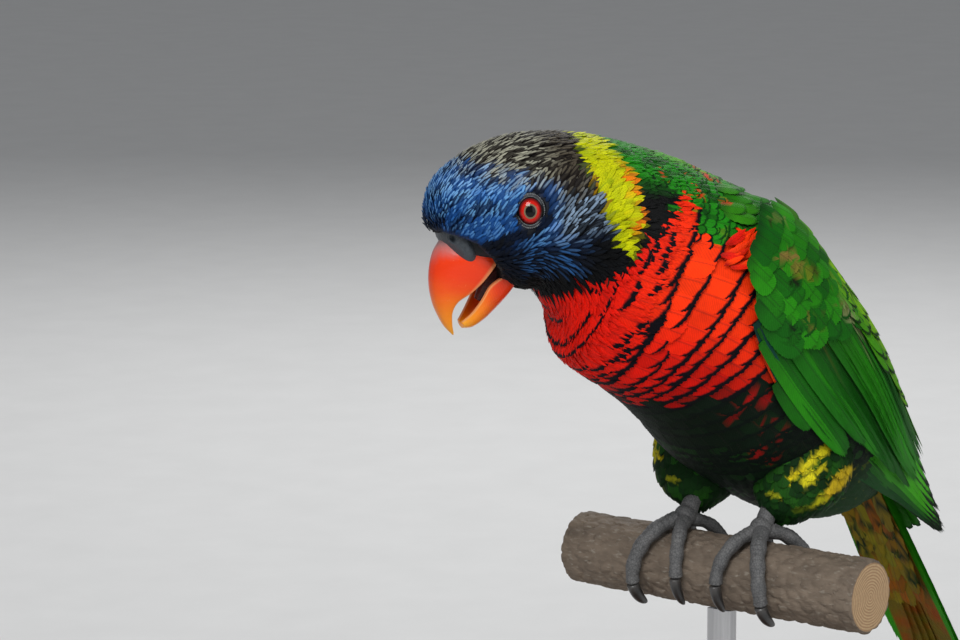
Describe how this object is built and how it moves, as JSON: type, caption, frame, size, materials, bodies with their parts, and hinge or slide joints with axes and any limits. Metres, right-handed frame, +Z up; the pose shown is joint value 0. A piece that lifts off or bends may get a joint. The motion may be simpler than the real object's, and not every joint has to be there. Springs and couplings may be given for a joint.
{
  "type": "rainbow lorikeet on a display perch",
  "caption": "Life-size perched rainbow lorikeet, a colourful small parrot leaning forward with its head turned and bill open, on a plain stand.",
  "frame": {"origin": "centre of the stand base's underside, on the surface that the model stands on", "axes": "+Z up; the bird's body faces -X and its left side is towards -Y"},
  "size_m": [0.1991, 0.12, 0.2033],
  "materials": {
    "blue_feathers": "small blue and blue-grey feathers with pale shafts",
    "green_feathers": "glossy green feathers",
    "red_feathers": "vivid red feathers with thin dark bars",
    "thigh_feathers": "dark green feathers with yellow blotches",
    "tail_feathers": "green feathers, olive yellow below",
    "bill": "smooth satin horn, orange-red to yellow-orange",
    "tongue": "dark and moist",
    "eye": "wet, red iris round a black pupil",
    "foot_skin": "grey scaly skin",
    "claw": "dark horn",
    "stand_wood": "dark stained, satin",
    "stand_metal": "satin steel",
    "perch_bark": "bare weathered branch"
  },
  "bodies": {
    "root": {"head": "blue_feathers", "neck": "green_feathers", "torso": "red_feathers", "tail": "tail_feathers", "bill_upper": "bill", "bill_lower": "bill", "tongue": "tongue", "eye_left": "eye", "wing_left": "green_feathers", "thigh_left": "thigh_feathers", "foot_left": "foot_skin", "claw_left_1": "claw", "claw_left_2": "claw", "claw_left_3": "claw", "claw_left_4": "claw", "eye_right": "eye", "wing_right": "green_feathers", "thigh_right": "thigh_feathers", "foot_right": "foot_skin", "claw_right_1": "claw", "claw_right_2": "claw", "claw_right_3": "claw", "claw_right_4": "claw", "stand_base": "stand_wood", "stand_post": "stand_metal", "perch": "perch_bark"}
  },
  "joints": []
}
